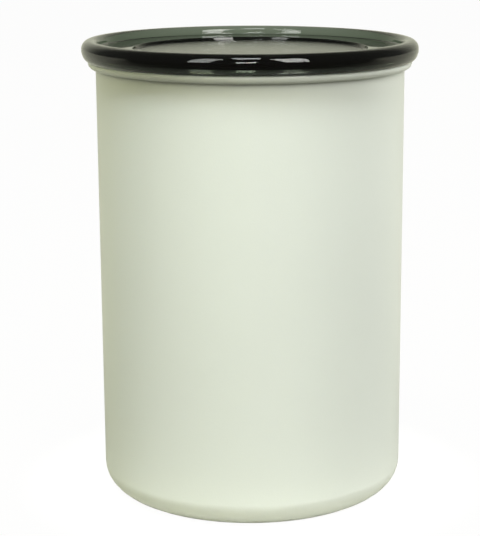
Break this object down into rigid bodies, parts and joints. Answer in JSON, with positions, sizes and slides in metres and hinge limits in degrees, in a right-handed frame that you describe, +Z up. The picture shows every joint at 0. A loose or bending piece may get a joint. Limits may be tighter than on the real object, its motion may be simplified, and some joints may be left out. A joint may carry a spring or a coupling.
{
  "type": "coffee canister",
  "caption": "Tall round coffee canister with a curled rim, a clear tinted outer lid and a press-down inner lid with a vent valve and folding handle.",
  "frame": {"origin": "centre of the base, on the surface that the canister stands on", "axes": "+Z up along the canister's axis, +Y away from the front, the folded handle lying towards +Y"},
  "size_m": [0.1296, 0.1296, 0.1782],
  "materials": {
    "powder_coat": "matte powder coat outside, bare steel inside",
    "smoke_plastic": "clear, grey-green tint, polished",
    "silicone": "satin",
    "inner_lid_plastic": "fine moulded texture",
    "handle_plastic": "satin",
    "valve_plastic": "smooth natural acetal",
    "steel": "fine satin stainless"
  },
  "bodies": {
    "canister": {"canister_shell": "powder_coat"},
    "outer_lid": {"outer_lid": "smoke_plastic", "lid_gasket": "silicone"},
    "inner_lid": {"plunger_plate": "inner_lid_plastic", "wiper_seal": "silicone", "plunger_base": "inner_lid_plastic", "cover_seal": "silicone", "cover_screws": "steel", "vent_screen": "steel", "screen_ring": "valve_plastic", "valve_guide": "valve_plastic", "valve_spring": "steel", "hinge_pins": "steel"},
    "valve": {"valve_stem": "valve_plastic", "valve_seal": "silicone", "valve_button": "valve_plastic"},
    "handle": {"handle": "handle_plastic"}
  },
  "joints": [
    {"name": "outer_lid_lift", "type": "slide", "parent": "canister", "child": "outer_lid", "axis": [0, 0, 1], "range_m": [0, 0.06]},
    {"name": "inner_lid_press", "type": "slide", "parent": "canister", "child": "inner_lid", "axis": [0, 0, 1], "range_m": [-0.096, 0]},
    {"name": "handle_fold", "type": "hinge", "parent": "inner_lid", "child": "handle", "pos_m": [0, 0, 0.128], "axis": [1, 0, 0], "range_deg": [0, 90]},
    {"name": "valve_travel", "type": "slide", "parent": "inner_lid", "child": "valve", "axis": [0, 0, 1], "range_m": [0, 0.003], "deforming": ["valve_spring"]}
  ],
  "couplings": [
    {"joint": "valve_travel", "follows": "handle_fold", "m_per_rad": 0.0019099}
  ]
}
